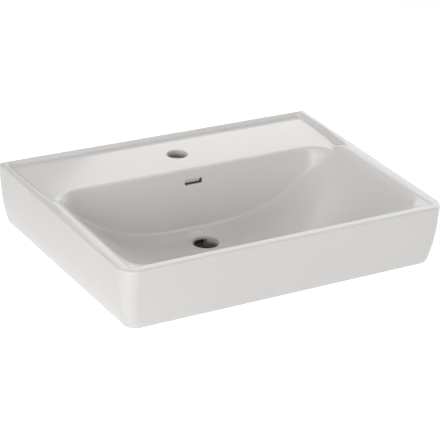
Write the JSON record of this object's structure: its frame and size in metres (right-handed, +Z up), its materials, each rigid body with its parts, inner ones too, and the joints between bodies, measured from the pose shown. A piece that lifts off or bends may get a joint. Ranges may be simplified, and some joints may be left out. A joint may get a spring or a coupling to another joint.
{
  "type": "wall-hung washbasin",
  "caption": "Wall-hung ceramic washbasin with a tap deck, trough bowl, overflow and bolt-and-plug wall fixings.",
  "frame": {"origin": "on the wall plane, midway between the two fixing bolts, 68 mm below the rim", "axes": "+X to the right seen from the front, +Y towards the wall, +Z up"},
  "size_m": [0.5996, 0.5498, 0.172],
  "materials": {
    "glaze": "white gloss glaze over fired clay",
    "zinc_steel": "bright zinc plating on rolled steel",
    "nylon": "moulded natural nylon"
  },
  "bodies": {
    "root": {"ceramic_basin": "glaze", "hanger_bolts": "zinc_steel", "fixing_nuts": "zinc_steel", "fixing_washers": "zinc_steel", "fixing_sleeve_left": "nylon", "fixing_sleeve_right": "nylon", "wall_plug_left": "nylon", "wall_plug_right": "nylon"}
  },
  "joints": []
}
